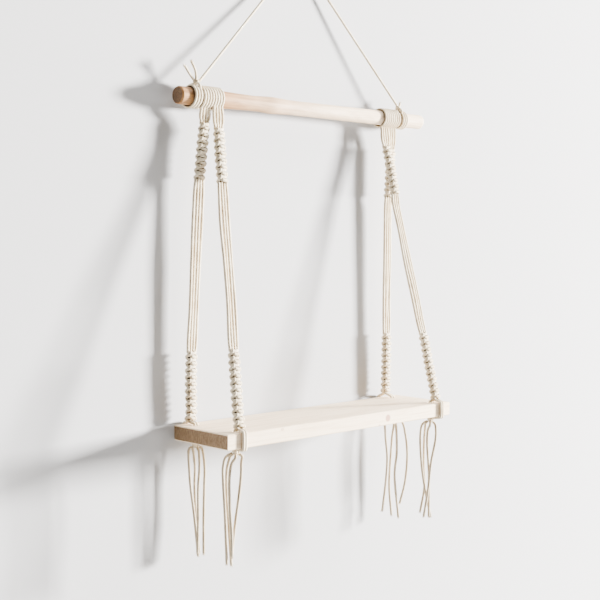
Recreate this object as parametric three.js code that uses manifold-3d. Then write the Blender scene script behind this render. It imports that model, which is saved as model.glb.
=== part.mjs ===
// A hanging rope shelf: one pine board carried by four knotted cord legs under a dowel, which hangs
// by a single cord from one point on a wall. Millimetres, +Z up. The origin is the point where the
// hanging cord bears on its support. The board's long side runs along X, its front faces -Y, and its
// back edge lies in the plane Y = 0.
import * as THREE from 'three';
import { mergeVertices } from 'three/addons/utils/BufferGeometryUtils.js';
import Module from 'manifold-3d';

const wasm = await Module();
wasm.setup();

// Driving dimensions of the whole shelf.
const boardLength = 450;
const boardDepth = 108;
const boardThickness = 20;
const boardEdgeRound = 1.2;
const hangDrop = 215;
const legDrop = 433;
const dowelSetback = 16.5;

// Cord and clearances.
const cordDiameter = 3.6;
const cordRadius = cordDiameter / 2;
const touchGap = 0.35;
const windGap = 0.7;
const turnGap = 0.9;
const turnPitch = cordDiameter + turnGap;
const weldShare = 0.00001;

// The dowel is a natural branch, so its radius changes along its length.
const dowelOverhangLeft = 9.5;
const dowelOverhangRight = 28;
const dowelRadiusLeft = 12;
const dowelRadiusRight = 11.1;
const dowelRadiusWaist = 10.6;
const dowelBulge = 1.7;
const dowelEndChamfer = 0.8;
const dowelSides = 20;

// Windings on the dowel. An inset is measured inwards from that end of the board.
const wrapTurns = 3;
const wrapSteps = 16;
const headSteps = 12;
const headsPerSide = 4;
const winding = {
  left: { headInset: 25.8, wrapInset: 21, knotInset: 21.5 },
  right: { headInset: 34.4, wrapInset: 26.2, knotInset: 22 },
};
const windingSides = 6;
const wrapKnotShares = [1.08, 1.28, 1.03];
const wrapEndAngle = 8;
const wrapSettleAngle = 45;
const rideStartAngle = 170;
const rideFullAngle = 225;
const headFrontAngle = 115;
const bightAngle = -155;
const bightSteps = 4;
const knotSides = 12;
const knotRings = 8;

// Legs: where each one meets the dowel and the board, as insets from that end of the board.
const legSeats = {
  back_left: { topInset: 32.4, footInset: 17.5, edgeInset: 19.5, holeInset: 21 },
  front_left: { topInset: 52.8, footInset: 30.8, edgeInset: 26.5, holeInset: 27.5 },
  back_right: { topInset: 40.2, footInset: 38.4, edgeInset: 39.5, holeInset: 31 },
  front_right: { topInset: 61.4, footInset: 17.3, edgeInset: 22, holeInset: 26.5 },
};

// How far each upper sinnet starts below the dowel's axis, how far each lower one ends above the board,
// and how many knots the lower one has.
const sinnetSeats = {
  back_left: { upperDrop: 33, lowerRise: 6.5, lowerKnots: 10 },
  front_left: { upperDrop: 39.5, lowerRise: 5, lowerKnots: 11 },
  back_right: { upperDrop: 46, lowerRise: 10, lowerKnots: 10 },
  front_right: { upperDrop: 44, lowerRise: 6.5, lowerKnots: 11 },
};

// How far the feet and the holes lie in from the board's back and front edges.
const footInsets = { back: 11, front: 12 };
const holeInsets = { back: 18.5, front: 15.5 };

// Flat square-knot sinnets, and the strands between them.
const sinnetWidth = 16;
const sinnetThickness = 10.6;
const sinnetNotch = 1;
const sinnetSides = 8;
const knotPitch = 9.2;
const upperKnots = 8;
const capAngles = [30, 60];
const strandGapAtKnot = 0.6;
const strandGapFree = 1;
const strandShoulderNear = 5;
const strandShoulderFar = 16;
const strandSides = 8;

// Feet under and over the board.
const footCordGap = 0.3;
const footCordOffset = (cordDiameter + footCordGap) / 2;
const footKnotShares = [1.67, 1.5, 1.61];
const footSides = 6;
const cornerSteps = 2;
const holeClearance = 0.4;
const holeSides = 16;

// Tassels under the feet.
const tasselStart = cordDiameter;
const tasselStep = 3 * cordDiameter;

// The hanging cord's run over its support.
const supportBendRadius = 10;
const supportBendSteps = 4;
const runSteps = 12;
const hangSides = 8;

const boardTop = -hangDrop - legDrop;
const boardBottom = boardTop - boardThickness;
const boardLeft = -boardLength / 2;
const boardRight = boardLength / 2;
const dowelLeft = boardLeft - dowelOverhangLeft;
const dowelRight = boardRight + dowelOverhangRight;
const dowelLength = dowelRight - dowelLeft;

const shelf = new THREE.Group();

const paint = {
  pine: { color: 0xf0e7d8, roughness: 0.62, metalness: 0 },
  dowelWood: { color: 0xd9bd97, roughness: 0.6, metalness: 0 },
  cotton: { color: 0xe9e0cf, roughness: 0.9, metalness: 0 },
};

const legs = Object.entries(legSeats).map(([name, seat]) => {
  const [row, end] = name.split('_');
  return { name, row, side: end === 'left' ? -1 : 1, ...seat, ...sinnetSeats[name] };
});

function addPiece(name, geometry, finish) {
  const mesh = new THREE.Mesh(geometry, new THREE.MeshStandardMaterial(finish));
  mesh.name = name;
  shelf.add(mesh);
}

// A position along X measured inwards from one end of the board.
function fromEnd(side, inset) {
  return side * (boardRight - inset);
}

// Solid and geometry conversions for joining pieces.
function toSolid(geometry) {
  const bare = geometry.clone();
  bare.deleteAttribute('normal');
  bare.deleteAttribute('uv');
  const merged = mergeVertices(bare, cordDiameter * weldShare);
  return new wasm.Manifold(new wasm.Mesh({
    numProp: 3,
    vertProperties: new Float32Array(merged.attributes.position.array),
    triVerts: new Uint32Array(merged.index.array),
  }));
}

function fromSolid(solid) {
  const mesh = solid.getMesh();
  const geometry = new THREE.BufferGeometry();
  geometry.setAttribute('position', new THREE.BufferAttribute(new Float32Array(mesh.vertProperties), 3));
  geometry.setIndex(new THREE.BufferAttribute(new Uint32Array(mesh.triVerts), 1));
  geometry.computeVertexNormals();
  return geometry;
}

// A round section carried through hand-placed or computed stations, with one ring at each station
// and flat ends. The rings are turned as little as possible from one station to the next.
function sweep(stations, radius, sides) {
  const positions = [];
  const index = [];
  const count = stations.length;
  let ahead = new THREE.Vector3();
  let across = new THREE.Vector3(1, 0, 0);
  for (let i = 0; i < count; i += 1) {
    const before = stations[Math.max(i - 1, 0)];
    const after = stations[Math.min(i + 1, count - 1)];
    ahead = after.clone().sub(before).normalize();
    across.addScaledVector(ahead, -across.dot(ahead)).normalize();
    const up = ahead.clone().cross(across);
    for (let j = 0; j < sides; j += 1) {
      const angle = (2 * Math.PI * j) / sides;
      const point = stations[i].clone()
        .addScaledVector(across, radius * Math.cos(angle))
        .addScaledVector(up, radius * Math.sin(angle));
      positions.push(point.x, point.y, point.z);
    }
  }
  for (let i = 0; i + 1 < count; i += 1) {
    for (let j = 0; j < sides; j += 1) {
      const a = i * sides + j;
      const b = i * sides + ((j + 1) % sides);
      index.push(a, b, b + sides, a, b + sides, a + sides);
    }
  }
  const last = (count - 1) * sides;
  for (let j = 1; j + 1 < sides; j += 1) {
    index.push(0, j + 1, j);
    index.push(last, last + j, last + j + 1);
  }
  const geometry = new THREE.BufferGeometry();
  geometry.setAttribute('position', new THREE.Float32BufferAttribute(positions, 3));
  geometry.setIndex(index);
  geometry.computeVertexNormals();
  return geometry;
}

// The least free gap between two stretches of one cord that lie more than two diameters apart
// along it, measured on points spread along every straight piece of its centreline.
function leastGap(stations) {
  const points = [];
  const travelled = [];
  const parts = 4;
  let length = 0;
  for (let i = 0; i + 1 < stations.length; i += 1) {
    const piece = stations[i].distanceTo(stations[i + 1]);
    for (let k = 0; k < parts; k += 1) {
      points.push(stations[i].clone().lerp(stations[i + 1], k / parts));
      travelled.push(length + (piece * k) / parts);
    }
    length += piece;
  }
  let least = Infinity;
  for (let i = 0; i < points.length; i += 1) {
    for (let j = i + 1; j < points.length; j += 1) {
      if (travelled[j] - travelled[i] > 2 * cordDiameter) {
        least = Math.min(least, points[i].distanceTo(points[j]));
      }
    }
  }
  return least - cordDiameter;
}

// The dowel's radius at shares of its length from the left end. Both winding seats are cylindrical.
const dowelProfileShares = [
  [0, dowelRadiusLeft],
  [0.15, dowelRadiusLeft],
  [0.2, (dowelRadiusLeft + dowelRadiusWaist) / 2],
  [0.28, dowelRadiusWaist],
  [0.34, dowelRadiusWaist + dowelBulge],
  [0.4, dowelRadiusWaist],
  [0.52, dowelRadiusWaist],
  [0.78, dowelRadiusRight],
  [1, dowelRadiusRight],
];

function addDowel() {
  const chamfer = dowelEndChamfer;
  const profile = [new THREE.Vector2(0, 0), new THREE.Vector2(dowelRadiusLeft - chamfer, 0)];
  for (const [share, radius] of dowelProfileShares) {
    const along = THREE.MathUtils.clamp(share * dowelLength, chamfer, dowelLength - chamfer);
    profile.push(new THREE.Vector2(radius, along));
  }
  profile.push(new THREE.Vector2(dowelRadiusRight - chamfer, dowelLength));
  profile.push(new THREE.Vector2(0, dowelLength));
  const geometry = new THREE.LatheGeometry(profile, dowelSides);
  geometry.rotateZ(-Math.PI / 2);
  geometry.translate(dowelLeft, -dowelSetback, -hangDrop);
  addPiece('dowel', geometry, paint.dowelWood);
}

// The board with its four drilled holes, extruded upwards from its underside.
function addBoard() {
  const halfLength = boardLength / 2 - boardEdgeRound;
  const outline = new THREE.Shape();
  outline.moveTo(-halfLength, -boardDepth + boardEdgeRound);
  outline.lineTo(halfLength, -boardDepth + boardEdgeRound);
  outline.lineTo(halfLength, -boardEdgeRound);
  outline.lineTo(-halfLength, -boardEdgeRound);
  outline.closePath();
  const holeRadius = footCordOffset + cordRadius + holeClearance;
  for (const leg of legs) {
    const hole = new THREE.Path();
    const centre = holeCentre(leg);
    hole.absarc(centre.x, centre.y, holeRadius + boardEdgeRound, 0, 2 * Math.PI, true);
    outline.holes.push(hole);
  }
  const geometry = new THREE.ExtrudeGeometry(outline, {
    depth: boardThickness - 2 * boardEdgeRound,
    bevelThickness: boardEdgeRound,
    bevelSize: boardEdgeRound,
    bevelSegments: 1,
    curveSegments: holeSides,
  });
  geometry.translate(0, 0, boardBottom + boardEdgeRound);
  addPiece('board', geometry, paint.pine);
}

// A place along Y measured inwards from the board's back or front edge.
function fromEdge(row, insets) {
  return row === 'front' ? insets.front - boardDepth : -insets.back;
}

function holeCentre(leg) {
  return new THREE.Vector3(fromEnd(leg.side, leg.holeInset), fromEdge(leg.row, holeInsets), boardTop);
}

// A point on a circle round the dowel's axis, by its angle from the top towards the front.
function roundDowel(x, degrees, radius) {
  const angle = THREE.MathUtils.degToRad(degrees);
  return new THREE.Vector3(x, -dowelSetback - radius * Math.sin(angle), -hangDrop + radius * Math.cos(angle));
}

// Centreline radius of a turn whose flats, not its corners, clear the wood.
function turnRadius(side, steps) {
  const wood = side < 0 ? dowelRadiusLeft : dowelRadiusRight;
  return (wood + touchGap + cordRadius) / Math.cos(Math.PI / steps);
}

function wrapKnotCentre(side) {
  const seat = side < 0 ? winding.left : winding.right;
  return roundDowel(fromEnd(side, seat.knotInset), 0, rideRadius(side));
}

function rideRadius(side) {
  return (turnRadius(side, wrapSteps) + cordDiameter + windGap) / Math.cos(Math.PI / wrapSteps);
}

// The end of the hanging cord wound round the dowel: out of its knot, down the front, three turns
// outwards, then back over those turns across the rear and into the knot again.
function wrapStations(side) {
  const seat = side < 0 ? winding.left : winding.right;
  const startX = fromEnd(side, seat.wrapInset);
  const knotX = fromEnd(side, seat.knotInset);
  const turn = turnRadius(side, wrapSteps);
  const ride = rideRadius(side);
  const stations = [];
  const total = 360 * wrapTurns;
  const step = 360 / wrapSteps;
  const climbStart = total - 360 + rideStartAngle;
  const climbEnd = total - 360 + rideFullAngle;
  const angles = [wrapEndAngle];
  for (let degrees = step; degrees < total - wrapEndAngle; degrees += step) {
    angles.push(degrees);
  }
  angles.push(total - wrapEndAngle);
  for (const degrees of angles) {
    let x = startX + (side * turnPitch * degrees) / 360;
    let radius = turn;
    if (degrees < wrapSettleAngle) {
      const settled = degrees / wrapSettleAngle;
      x = THREE.MathUtils.lerp(knotX, x, settled);
      radius = turn + (ride - turn) * (1 - settled ** 3);
    }
    if (degrees > climbStart) {
      const climbed = Math.min(1, (degrees - climbStart) / (climbEnd - climbStart));
      radius = THREE.MathUtils.lerp(turn, ride, climbed);
    }
    if (degrees > climbEnd) {
      const back = THREE.MathUtils.smoothstep(degrees, climbEnd, total);
      x = THREE.MathUtils.lerp(startX + (side * turnPitch * climbEnd) / 360, knotX, back);
    }
    stations.push(roundDowel(x, degrees, radius));
  }
  return stations;
}

// Short ends that stick out of each wrap knot: offsets outwards, backwards and upwards from it.
const wrapTails = {
  left: [
    [[0, 0, 0], [5, 1, 5], [12, 1, 12.5], [17.5, 0.5, 18.5], [19.5, 0, 19.5]],
    [[0, 0, 0], [0.5, -1, 6.5], [2.5, -1.5, 15], [8.8, -1, 26.5]],
  ],
  right: [
    [[0, 0, 0], [2.5, 0, 5], [3.8, 0.5, 8.5]],
  ],
};

// A knot as a rounded lump, its half sizes given as shares of the cord's diameter.
function knotGeometry(centre, sizeShares) {
  const [along, across, height] = sizeShares.map((share) => share * cordDiameter);
  const knot = new THREE.SphereGeometry(1, knotSides, knotRings);
  knot.scale(along, across, height);
  knot.translate(centre.x, centre.y, centre.z);
  return knot;
}

function addWrap(side, name) {
  const stations = wrapStations(side);
  console.log(`${name}: least gap of the winding to itself ${leastGap(stations).toFixed(2)} mm`);
  let solid = toSolid(sweep(stations, cordRadius, windingSides));
  const centre = wrapKnotCentre(side);
  solid = solid.add(toSolid(knotGeometry(centre, wrapKnotShares)));
  for (const tail of side < 0 ? wrapTails.left : wrapTails.right) {
    const place = ([out, back, up]) => centre.clone().add(new THREE.Vector3(side * out, back, up));
    const route = tail.map(place);
    solid = solid.add(toSolid(sweep(route, cordRadius, windingSides)));
  }
  addPiece(name, fromSolid(solid), paint.cotton);
}

// Where the hanging cord leaves each wrap knot: offsets inwards and upwards from its centre.
const hangFoot = { left: [4.9, 1.2], right: [3.5, 3.3] };

// The hanging cord: two straight runs from the wrap knots to the support, with a round bend there.
function addHangingCord() {
  const bendTop = new THREE.Vector3(0, 0, cordRadius);
  const ends = [-1, 1].map((side) => {
    const knot = wrapKnotCentre(side);
    const foot = hangFoot[side < 0 ? 'left' : 'right'];
    return knot.add(new THREE.Vector3(-side * foot[0], 0, foot[1]));
  });
  const bend = supportBendRadius;
  const slopes = ends.map((end) => Math.atan2(bendTop.z - end.z, Math.abs(end.x)));
  const arcAngle = (slopes[0] + slopes[1]) / 2;
  const route = [];
  const bendCentre = new THREE.Vector3(0, 0, bendTop.z - bend);
  const arcFoot = (side, share) => {
    const angle = arcAngle * share;
    return new THREE.Vector3(side * bend * Math.sin(angle), 0, bendCentre.z + bend * Math.cos(angle));
  };
  const run = (from, to) => {
    for (let k = 0; k < runSteps; k += 1) {
      route.push(from.clone().lerp(to, k / runSteps));
    }
  };
  run(ends[0], arcFoot(-1, 1));
  for (let k = supportBendSteps; k > -supportBendSteps; k -= 1) {
    route.push(arcFoot(k > 0 ? -1 : 1, Math.abs(k) / supportBendSteps));
  }
  run(arcFoot(1, 1), ends[1]);
  route.push(ends[1]);
  addPiece('hanging_cord', freeCord(route, hangSides), paint.cotton);
}

// A free cord: a regular polygon extruded along a smooth curve through its route.
function freeCord(route, sides) {
  const section = new THREE.Shape();
  for (let j = 0; j < sides; j += 1) {
    const angle = (2 * Math.PI * j) / sides;
    const [u, v] = [cordRadius * Math.cos(angle), cordRadius * Math.sin(angle)];
    if (j === 0) {
      section.moveTo(u, v);
    } else {
      section.lineTo(u, v);
    }
  }
  section.closePath();
  const curve = new THREE.CatmullRomCurve3(route, false, 'centripetal');
  const steps = Math.round(curve.getLength() / tasselStep);
  return new THREE.ExtrudeGeometry(section, { extrudePath: curve, steps });
}

// The frame of a leg: origin at its foot on the board's top, Z up the leg, X along the shelf.
function legTop(leg) {
  const drop = turnRadius(leg.side, headSteps);
  return new THREE.Vector3(fromEnd(leg.side, leg.topInset), -dowelSetback, -hangDrop - drop);
}

function legFoot(leg) {
  return new THREE.Vector3(fromEnd(leg.side, leg.footInset), fromEdge(leg.row, footInsets), boardTop);
}

function legMatrix(leg) {
  const foot = legFoot(leg);
  const up = legTop(leg).sub(foot).normalize();
  const along = new THREE.Vector3(1, 0, 0).addScaledVector(up, -up.x).normalize();
  const away = up.clone().cross(along);
  return new THREE.Matrix4().makeBasis(along, away, up).setPosition(foot);
}

// Heights along a leg, measured from its foot.
function legHeights(leg) {
  const length = legTop(leg).distanceTo(legFoot(leg));
  const upperTop = length - leg.upperDrop + turnRadius(leg.side, headSteps);
  return {
    upperTop,
    upperBottom: upperTop - upperKnots * knotPitch,
    lowerTop: leg.lowerRise + leg.lowerKnots * knotPitch,
    lowerBottom: leg.lowerRise,
  };
}

// A square-knot sinnet: a scalloped profile, widest at the middle of each knot, turned about its
// length and flattened. Each end is half an ellipse, half a knot high.
function sinnetGeometry(knots) {
  const round = sinnetWidth / 2;
  const length = knots * knotPitch;
  const cap = capAngles.map((degrees) => {
    const angle = THREE.MathUtils.degToRad(degrees);
    return [round * Math.sin(angle), (knotPitch / 2) * (1 - Math.cos(angle))];
  });
  const profile = [[0, 0], ...cap];
  for (let k = 0; k < knots; k += 1) {
    profile.push([round, (k + 0.5) * knotPitch]);
    if (k + 1 < knots) {
      profile.push([round - sinnetNotch, (k + 1) * knotPitch]);
    }
  }
  profile.push(...cap.map(([radius, along]) => [radius, length - along]).reverse(), [0, length]);
  const geometry = new THREE.LatheGeometry(profile.map(([x, y]) => new THREE.Vector2(x, y)), sinnetSides);
  geometry.rotateX(Math.PI / 2);
  geometry.scale(1, sinnetThickness / sinnetWidth, 1);
  return geometry;
}

// How far a strand's flat end may reach past a sinnet's tip and still clear its elliptical end.
function strandReach(x) {
  const inside = Math.max(0, Math.abs(x) - cordRadius) / (sinnetWidth / 2);
  return (knotPitch / 2) * (1 - Math.sqrt(Math.max(0, 1 - inside ** 2))) - touchGap;
}

// The four strands of a leg from left to right, as places counted in strand spacings from its middle.
const strandPlaceShares = [-1.5, -0.5, 0.5, 1.5];

function strandAtKnot(index) {
  return strandPlaceShares[index] * (cordDiameter + strandGapAtKnot);
}

function addLeg(leg) {
  const frame = legMatrix(leg);
  const heights = legHeights(leg);
  const place = (geometry) => geometry.applyMatrix4(frame);
  const upper = sinnetGeometry(upperKnots);
  upper.translate(0, 0, heights.upperBottom);
  addPiece(`upper_sinnet_${leg.name}`, place(upper), paint.cotton);
  const lower = sinnetGeometry(leg.lowerKnots);
  lower.translate(0, 0, heights.lowerBottom);
  addPiece(`lower_sinnet_${leg.name}`, place(lower), paint.cotton);
  strandPlaceShares.forEach((share, i) => {
    const atKnot = strandAtKnot(i);
    const free = share * (cordDiameter + strandGapFree);
    const low = heights.lowerTop - strandReach(atKnot);
    const high = heights.upperBottom + strandReach(atKnot);
    const middle = (atKnot + free) / 2;
    const stations = [
      [atKnot, low], [middle, low + strandShoulderNear], [free, low + strandShoulderFar],
      [free, high - strandShoulderFar], [middle, high - strandShoulderNear], [atKnot, high],
    ].map(([x, z]) => new THREE.Vector3(x, 0, z));
    addPiece(`strand_${leg.name}_${i + 1}`, place(sweep(stations, cordRadius, strandSides)), paint.cotton);
  });
}

// One lark's-head hitch: a hairpin of cord that comes up from the leg as one strand, goes round the
// dowel, turns back on itself under the rear, goes round again and comes down as the other strand.
function addHead(leg, pairIndex, name) {
  const radius = turnRadius(leg.side, headSteps);
  const turns = [2 * pairIndex, 2 * pairIndex + 1];
  const [outerX, innerX] = turns.map((turn) => headX(leg, turn));
  const [outer, inner] = turns.map((turn) => headStrand(leg, turn, radius));
  const middleX = (outerX + innerX) / 2;
  const bight = [];
  for (let k = 0; k <= bightSteps; k += 1) {
    const angle = (Math.PI * k) / bightSteps;
    const further = THREE.MathUtils.radToDeg((turnPitch * Math.sin(angle)) / (2 * radius));
    const x = middleX + (outerX - middleX) * Math.cos(angle);
    bight.push(roundDowel(x, bightAngle - further, radius));
  }
  const stations = [...outer, ...bight, ...inner.reverse()];
  console.log(`${name}: least gap of the winding to itself ${leastGap(stations).toFixed(2)} mm`);
  addPiece(name, sweep(stations, cordRadius, windingSides), paint.cotton);
}

// Where a leg's turn lies along the dowel. Turns 0 to 3 are counted inwards from the dowel's end.
function headX(leg, turn) {
  const seat = leg.side < 0 ? winding.left : winding.right;
  const rowOffset = leg.row === 'back' ? 0 : headsPerSide;
  return fromEnd(leg.side, seat.headInset + (rowOffset + turn) * turnPitch);
}

// One strand of a hitch from its sinnet straight up to the dowel's front and round it to the rear.
function headStrand(leg, turn, radius) {
  const frame = legMatrix(leg);
  const x = headX(leg, turn);
  const atKnot = strandAtKnot(leg.side < 0 ? turn : headsPerSide - 1 - turn);
  const low = legHeights(leg).upperTop - strandReach(atKnot);
  const stations = [
    new THREE.Vector3(atKnot, 0, low).applyMatrix4(frame),
    new THREE.Vector3(atKnot, 0, low + cordDiameter).applyMatrix4(frame),
  ];
  const step = 360 / headSteps;
  for (let degrees = headFrontAngle; degrees > bightAngle + step / 2; degrees -= step) {
    stations.push(roundDowel(x, degrees, radius));
  }
  return stations;
}

// A foot: two cords over the board's edge and two through its hole, all held by a knot underneath.
function addFoot(leg) {
  const frame = legMatrix(leg);
  const hole = holeCentre(leg);
  const knotCentre = footKnotCentre(leg);
  const outwards = leg.row === 'front' ? -1 : 1;
  const low = legHeights(leg).lowerBottom - touchGap;
  let solid = toSolid(knotGeometry(knotCentre, footKnotShares));
  for (const hand of [-1, 1]) {
    const aside = hand * footCordOffset;
    const leaving = (depth) => [
      new THREE.Vector3(aside, depth, low).applyMatrix4(frame),
      new THREE.Vector3(aside, depth, low - cordRadius).applyMatrix4(frame),
    ];
    const edgeRoute = [
      ...leaving(outwards * footCordOffset),
      ...edgeCorners(leg, aside, outwards),
      new THREE.Vector3(hole.x + aside / 2, knotCentre.y, knotCentre.z + cordRadius / 2),
    ];
    const holeRoute = [
      ...leaving(-outwards * footCordOffset),
      new THREE.Vector3(hole.x + aside, hole.y, boardTop + cordRadius),
      new THREE.Vector3(hole.x + aside, hole.y, boardBottom),
      new THREE.Vector3(hole.x + aside / 2, knotCentre.y, knotCentre.z),
    ];
    solid = solid.add(toSolid(sweep(edgeRoute, cordRadius, footSides)));
    solid = solid.add(toSolid(sweep(holeRoute, cordRadius, footSides)));
  }
  addPiece(`foot_${leg.name}`, fromSolid(solid), paint.cotton);
}

// A cord's way over the board's upper and lower edge, as quarter turns that clear the wood.
function edgeCorners(leg, aside, outwards) {
  const step = Math.PI / 2 / cornerSteps;
  const round = (cordRadius + touchGap) / Math.cos(step / 2);
  const edgeX = fromEnd(leg.side, leg.edgeInset);
  const edgeY = leg.row === 'front' ? -boardDepth : 0;
  const corner = (angle, height) => new THREE.Vector3(
    edgeX + aside,
    edgeY + outwards * round * Math.cos(angle),
    height + round * Math.sin(angle),
  );
  const upper = [];
  const lower = [];
  for (let k = 0; k <= cornerSteps; k += 1) {
    upper.push(corner(Math.PI / 2 - k * step, boardTop));
    lower.push(corner(-k * step, boardBottom));
  }
  return [...upper, ...lower];
}

function footKnotCentre(leg) {
  const hole = holeCentre(leg);
  const [, , heightShare] = footKnotShares;
  return new THREE.Vector3(hole.x, hole.y, boardBottom - touchGap - heightShare * cordDiameter);
}

// Tassel strands, as routes of points from the foot knot's centre: along X, along Y, up.
const tasselRoutes = {
  back_left: [
    [[-5, 3.2, -4], [-7.2, 5.4, -14], [-6, 5.5, -32], [-4, 5.2, -56], [0.5, 2.5, -97], [4, -1.5, -150]],
    [[1.5, 5.3, -4], [3, 7, -14], [3.5, 5, -32], [2.5, 4.5, -56], [4.5, 3.5, -100], [7, 0, -147]],
    [[0, -5, -4.8], [0.5, -7.5, -14], [1, -7.4, -32], [0, -6, -56], [0, -6.2, -100], [-0.5, -5.5, -145]],
    [[5.6, -2.2, -3.6], [8.5, -6, -12], [9, -8.5, -30], [8.5, -8.5, -56], [8, -8, -100],
      [8.2, -8.2, -147]],
  ],
  front_left: [
    [[-5.4, 3.6, -2.8], [-10, 9.2, -8], [-12, 11.6, -21], [-11.6, 11.6, -39], [-9.8, 9.7, -85],
      [-7.9, 7.9, -147]],
    [[-2, 5, -4.4], [-4.2, 9, -13], [-5.6, 11.2, -24], [-5.6, 11.6, -59], [-3.4, 9.4, -99],
      [-1, 7, -150]],
    [[-4, -3.8, -4.8], [-7.6, 0, -15], [-9.2, 2.2, -34], [-8.6, 1.6, -73], [-7, -0.4, -110],
      [-6.6, -0.6, -136]],
    [[4.4, -3, -4.2], [5.2, -4.6, -14], [5, -4.6, -28], [3, -3, -56], [-0.4, 0.4, -94],
      [-3.6, 3.6, -139]],
  ],
  back_right: [
    [[-5.2, 2.8, -4.2], [-7.6, 7, -14], [-6.8, 6.6, -36], [-4.6, 4.6, -67], [-5.5, 5.4, -100],
      [-9.3, 9.3, -153]],
    [[3.6, 4.4, -3.8], [6.8, 1.6, -14], [5, 3, -36], [2.6, 4.4, -77], [1.8, 5.2, -114], [4.6, 2.4, -161]],
    [[0.6, -5.2, -4.8], [1.5, -7.6, -16], [2.2, -8.6, -36], [2.7, -8.7, -61], [0.7, -6.7, -95],
      [5.4, -11.4, -162]],
    [[6.2, -1.4, -3.4], [12, -11, -12], [15.4, -15.4, -32], [17.6, -17.6, -64],
      [15.6, -15.6, -106], [9.6, -10.4, -141]],
  ],
  front_right: [
    [[-5.6, 3.2, -2.8], [-9.2, 8.6, -8], [-10.8, 10.6, -23], [-9, 8.9, -70], [-4.6, 5.4, -106],
      [6, 2, -151]],
    [[-1, 5.4, -4.2], [-1, 9.4, -14], [-2, 10.2, -30], [-2.2, 10.2, -75], [-1, 9.4, -106],
      [-5.4, 13.4, -144]],
    [[1.6, -4.8, -4.6], [1.4, -9.6, -14], [0.4, -9.8, -30], [-4.3, -5.7, -65], [-7.2, -2.8, -107],
      [-11.4, 1.4, -148]],
    [[-4.4, -3, -5], [-4.6, 1, -16], [-5, 2, -34], [-2.8, -0.4, -80], [-2.7, -1, -115],
      [-2.6, -1.4, -149]],
  ],
};

function addTassels(leg) {
  const centre = footKnotCentre(leg);
  const clear = Math.max(...footKnotShares) * cordDiameter + touchGap;
  tasselRoutes[leg.name].forEach((offsets, i) => {
    const route = offsets.map(([x, y, z]) => new THREE.Vector3(x, y, z));
    const leaving = route[0].clone().normalize();
    const start = leaving.clone().multiplyScalar(clear);
    const straight = leaving.clone().multiplyScalar(clear + tasselStart);
    const points = [start, straight, ...route.slice(1)].map((point) => point.clone().add(centre));
    addPiece(`tassel_${leg.name}_${i + 1}`, freeCord(points, strandSides), paint.cotton);
  });
}

addDowel();
addBoard();
addHangingCord();
addWrap(-1, 'wrap_left');
addWrap(1, 'wrap_right');
for (const leg of legs) {
  addHead(leg, 0, `hitch_${leg.name}_outer`);
  addHead(leg, 1, `hitch_${leg.name}_inner`);
  addLeg(leg);
  addFoot(leg);
  addTassels(leg);
}

export default shelf;
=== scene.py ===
import math

import bpy
import numpy as np
from mathutils import Matrix


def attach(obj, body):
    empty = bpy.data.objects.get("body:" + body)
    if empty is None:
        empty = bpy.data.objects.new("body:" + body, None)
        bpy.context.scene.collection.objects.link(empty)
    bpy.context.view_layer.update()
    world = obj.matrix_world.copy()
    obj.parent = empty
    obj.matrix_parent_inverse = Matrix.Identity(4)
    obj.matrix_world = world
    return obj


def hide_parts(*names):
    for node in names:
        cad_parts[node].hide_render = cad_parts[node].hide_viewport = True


# A hanging rope shelf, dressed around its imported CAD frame. Metres, +Z up, in the frame's own place:
# the origin is where the hanging cord bears on its support, and the wall lies behind Y = 0.
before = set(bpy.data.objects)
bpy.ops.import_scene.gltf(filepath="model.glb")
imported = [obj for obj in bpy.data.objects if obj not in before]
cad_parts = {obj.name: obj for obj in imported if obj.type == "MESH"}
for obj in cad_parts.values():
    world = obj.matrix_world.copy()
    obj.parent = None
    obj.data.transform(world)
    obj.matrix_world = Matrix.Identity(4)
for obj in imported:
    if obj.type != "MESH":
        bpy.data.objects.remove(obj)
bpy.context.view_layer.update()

MM = 0.001
rng = np.random.default_rng(7)

# Sizes repeated from the part's source, the foot knot's rounded to a tenth of a millimetre.
BOARD_HALF = 0.225
BOARD_DEPTH = 0.108
BOARD_TOP = -0.648
BOARD_BOTTOM = -0.668
DOWEL_SETBACK = 0.0165
DOWEL_AXIS_Z = -0.215
CORD_DIAMETER = 0.0036
CORD_RADIUS = CORD_DIAMETER / 2
TOUCH_GAP = 0.00035
TURN_PITCH = 0.0045
HITCH_STEPS = 12
WRAP_STEPS = 16
SINNET_WIDTH = 0.016
SINNET_HALF_DEPTH = 0.0056
KNOT_PITCH = 0.0092
UPPER_KNOTS = 8
OUTER_STRAND = 0.0063
INNER_STRAND = 0.0021
OUTER_FREE = 0.0069
INNER_FREE = 0.0023
FOOT_KNOT_HALF_HEIGHT = 0.0058
FOOT_KNOT_REACH = 0.006
FOOT_CORD_OFFSET = 0.00195

# Cord as it is drawn here, in shares of its radius: the leg cords, what they gain inside a sinnet, the
# tassels, and tight knots with the wraps' short ends. The photographed strands look wider than 3.6 mm.
LEG_FULLNESS = 1.09
SINNET_GAIN = 0.18
TASSEL_FULLNESS = 1.08
TIGHT = 0.95

# Painted shade on the tassels: their crevice light share is scaled by this, and less than 1 keeps them
# darker than the legs, as if shaded by the board.
TASSEL_PAINTED_SHADE = 0.65

# Each winding seat: the insets from its end of the board, and the wood's radius there.
SEATS = {
    -1: {"head": 0.0258, "wrap": 0.021, "knot": 0.0215, "wood": 0.012},
    1: {"head": 0.0344, "wrap": 0.0262, "knot": 0.022, "wood": 0.0111},
}

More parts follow.
